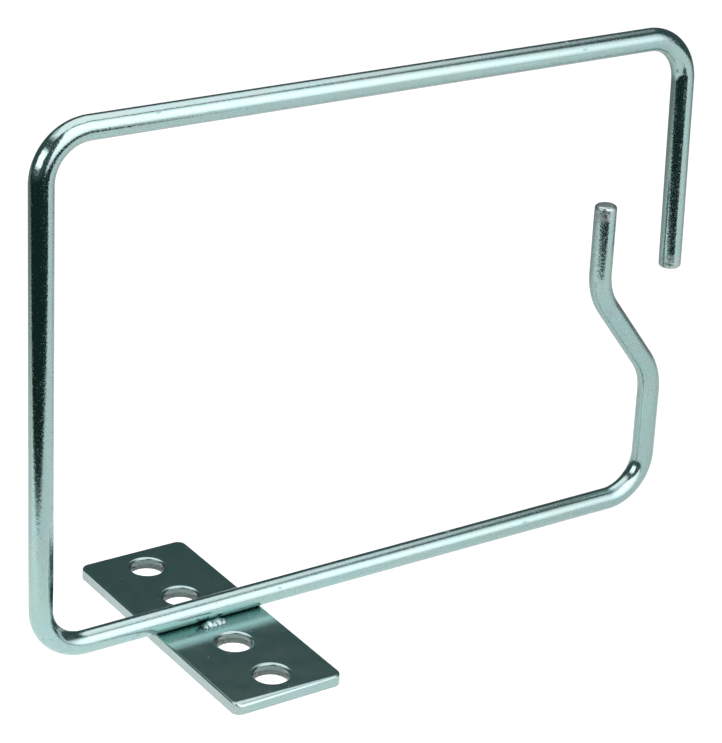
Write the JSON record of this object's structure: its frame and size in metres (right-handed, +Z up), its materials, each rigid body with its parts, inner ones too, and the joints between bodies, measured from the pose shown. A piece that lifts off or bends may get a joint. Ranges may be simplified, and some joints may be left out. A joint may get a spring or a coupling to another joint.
{
  "type": "cable management bar",
  "caption": "Open rectangular ring of bent round wire with an offset mouth for laying in cables, welded across a flat screw-on plate with round holes in a line.",
  "frame": {"origin": "middle of the mounting plate's underside, under the wire", "axes": "+X along the ring's width from the left leg to the mouth, +Y along the plate's length and row of holes, +Z up from the plate to the top bar"},
  "size_m": [0.1606, 0.0654, 0.1175],
  "materials": {
    "wire": "bright zinc plate with blue passivation",
    "plate": "bright zinc plate with blue passivation",
    "weld": "lumpy weld under bright zinc plate"
  },
  "bodies": {
    "root": {"wire_ring": "wire", "mounting_plate": "plate", "weld": "weld"}
  },
  "joints": []
}
